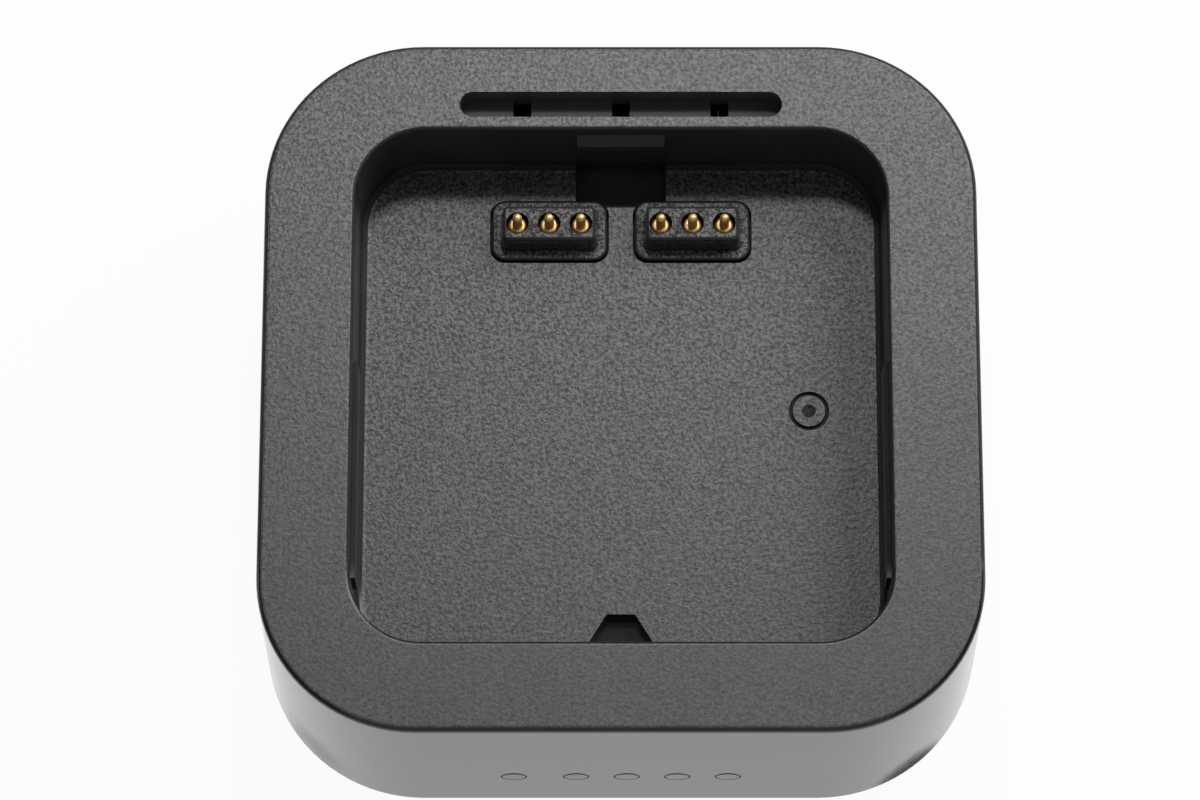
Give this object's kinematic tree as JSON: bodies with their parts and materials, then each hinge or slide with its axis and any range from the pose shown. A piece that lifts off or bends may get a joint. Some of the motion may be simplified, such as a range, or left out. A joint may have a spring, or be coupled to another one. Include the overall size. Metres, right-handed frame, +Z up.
{
  "type": "camera flash battery charger",
  "caption": "Square desktop charger for a camera flash battery, with a top pocket, sprung gold contact pins, a vent slot, front indicators and a rear mains socket.",
  "frame": {"origin": "centre of the charger's outline, on the plane under its feet", "axes": "+Z up out of the battery pocket, -Y towards the indicators, +Y towards the mains socket"},
  "size_m": [0.1046, 0.1046, 0.0384],
  "materials": {
    "housing_plastic": "fine spark texture on top, smooth satin sides",
    "cover_plastic": "fine texture",
    "foot_rubber": "matte",
    "screw_steel": "zinc plated",
    "contact_plastic": "textured",
    "contact_gold": "gold plated, bright",
    "spring_steel": "bright wire",
    "board_laminate": "green solder mask",
    "board_black": "black solder mask",
    "header_plastic": "moulded nylon with tinned pins",
    "window_plastic": "smoked, even with the wall",
    "led_body": "moulded",
    "inlet_plastic": "moulded",
    "inlet_metal": "nickel plated",
    "component_black": "moulded epoxy",
    "ferrite": "sintered",
    "copper_winding": "enamelled wire",
    "capacitor_sleeve": "shrink sleeve",
    "bobbin_plastic": "moulded",
    "winding_tape": "polyester tape",
    "heat_sink_metal": "plain"
  },
  "bodies": {
    "charger": {"upper_housing": "housing_plastic", "bottom_cover": "cover_plastic", "case_screws": "screw_steel", "contact_block_left": "contact_plastic", "contact_block_right": "contact_plastic", "contact_board": "board_black", "contact_board_screws": "screw_steel", "link_header": "header_plastic", "light_guide": "window_plastic", "indicator_board": "board_laminate", "main_board": "board_laminate", "main_board_screws": "screw_steel", "inlet_socket": "inlet_plastic", "inlet_pin_left": "inlet_metal", "inlet_pin_right": "inlet_metal", "fuse": "component_black", "choke_core": "ferrite", "choke_winding": "copper_winding", "bridge_rectifier": "component_black", "input_capacitor": "capacitor_sleeve", "transformer_core": "ferrite", "transformer_bobbin": "bobbin_plastic", "transformer_winding": "winding_tape", "heat_sink": "heat_sink_metal", "power_transistor": "component_black", "output_capacitor_1": "capacitor_sleeve", "output_capacitor_2": "capacitor_sleeve", "control_chip": "component_black", "foot_front_left": "foot_rubber", "foot_front_right": "foot_rubber", "foot_rear_left": "foot_rubber", "foot_rear_right": "foot_rubber", "pin_barrel_1": "contact_gold", "pin_spring_1": "spring_steel", "pin_barrel_2": "contact_gold", "pin_spring_2": "spring_steel", "pin_barrel_3": "contact_gold", "pin_spring_3": "spring_steel", "pin_barrel_4": "contact_gold", "pin_spring_4": "spring_steel", "pin_barrel_5": "contact_gold", "pin_spring_5": "spring_steel", "pin_barrel_6": "contact_gold", "pin_spring_6": "spring_steel", "indicator_led_1": "led_body", "indicator_led_2": "led_body", "indicator_led_3": "led_body", "indicator_led_4": "led_body", "indicator_led_5": "led_body"},
    "plunger_1": {"pin_plunger_1": "contact_gold"},
    "plunger_2": {"pin_plunger_2": "contact_gold"},
    "plunger_3": {"pin_plunger_3": "contact_gold"},
    "plunger_4": {"pin_plunger_4": "contact_gold"},
    "plunger_5": {"pin_plunger_5": "contact_gold"},
    "plunger_6": {"pin_plunger_6": "contact_gold"}
  },
  "joints": [
    {"name": "pin_1_press", "type": "slide", "parent": "charger", "child": "plunger_1", "axis": [0, 0, -1], "range_m": [0, 0.0018], "stiffness_N_per_m": 400, "springref_m": -0.0012, "deforming": ["pin_spring_1"]},
    {"name": "pin_2_press", "type": "slide", "parent": "charger", "child": "plunger_2", "axis": [0, 0, -1], "range_m": [0, 0.0018], "stiffness_N_per_m": 400, "springref_m": -0.0012, "deforming": ["pin_spring_2"]},
    {"name": "pin_3_press", "type": "slide", "parent": "charger", "child": "plunger_3", "axis": [0, 0, -1], "range_m": [0, 0.0018], "stiffness_N_per_m": 400, "springref_m": -0.0012, "deforming": ["pin_spring_3"]},
    {"name": "pin_4_press", "type": "slide", "parent": "charger", "child": "plunger_4", "axis": [0, 0, -1], "range_m": [0, 0.0018], "stiffness_N_per_m": 400, "springref_m": -0.0012, "deforming": ["pin_spring_4"]},
    {"name": "pin_5_press", "type": "slide", "parent": "charger", "child": "plunger_5", "axis": [0, 0, -1], "range_m": [0, 0.0018], "stiffness_N_per_m": 400, "springref_m": -0.0012, "deforming": ["pin_spring_5"]},
    {"name": "pin_6_press", "type": "slide", "parent": "charger", "child": "plunger_6", "axis": [0, 0, -1], "range_m": [0, 0.0018], "stiffness_N_per_m": 400, "springref_m": -0.0012, "deforming": ["pin_spring_6"]}
  ]
}
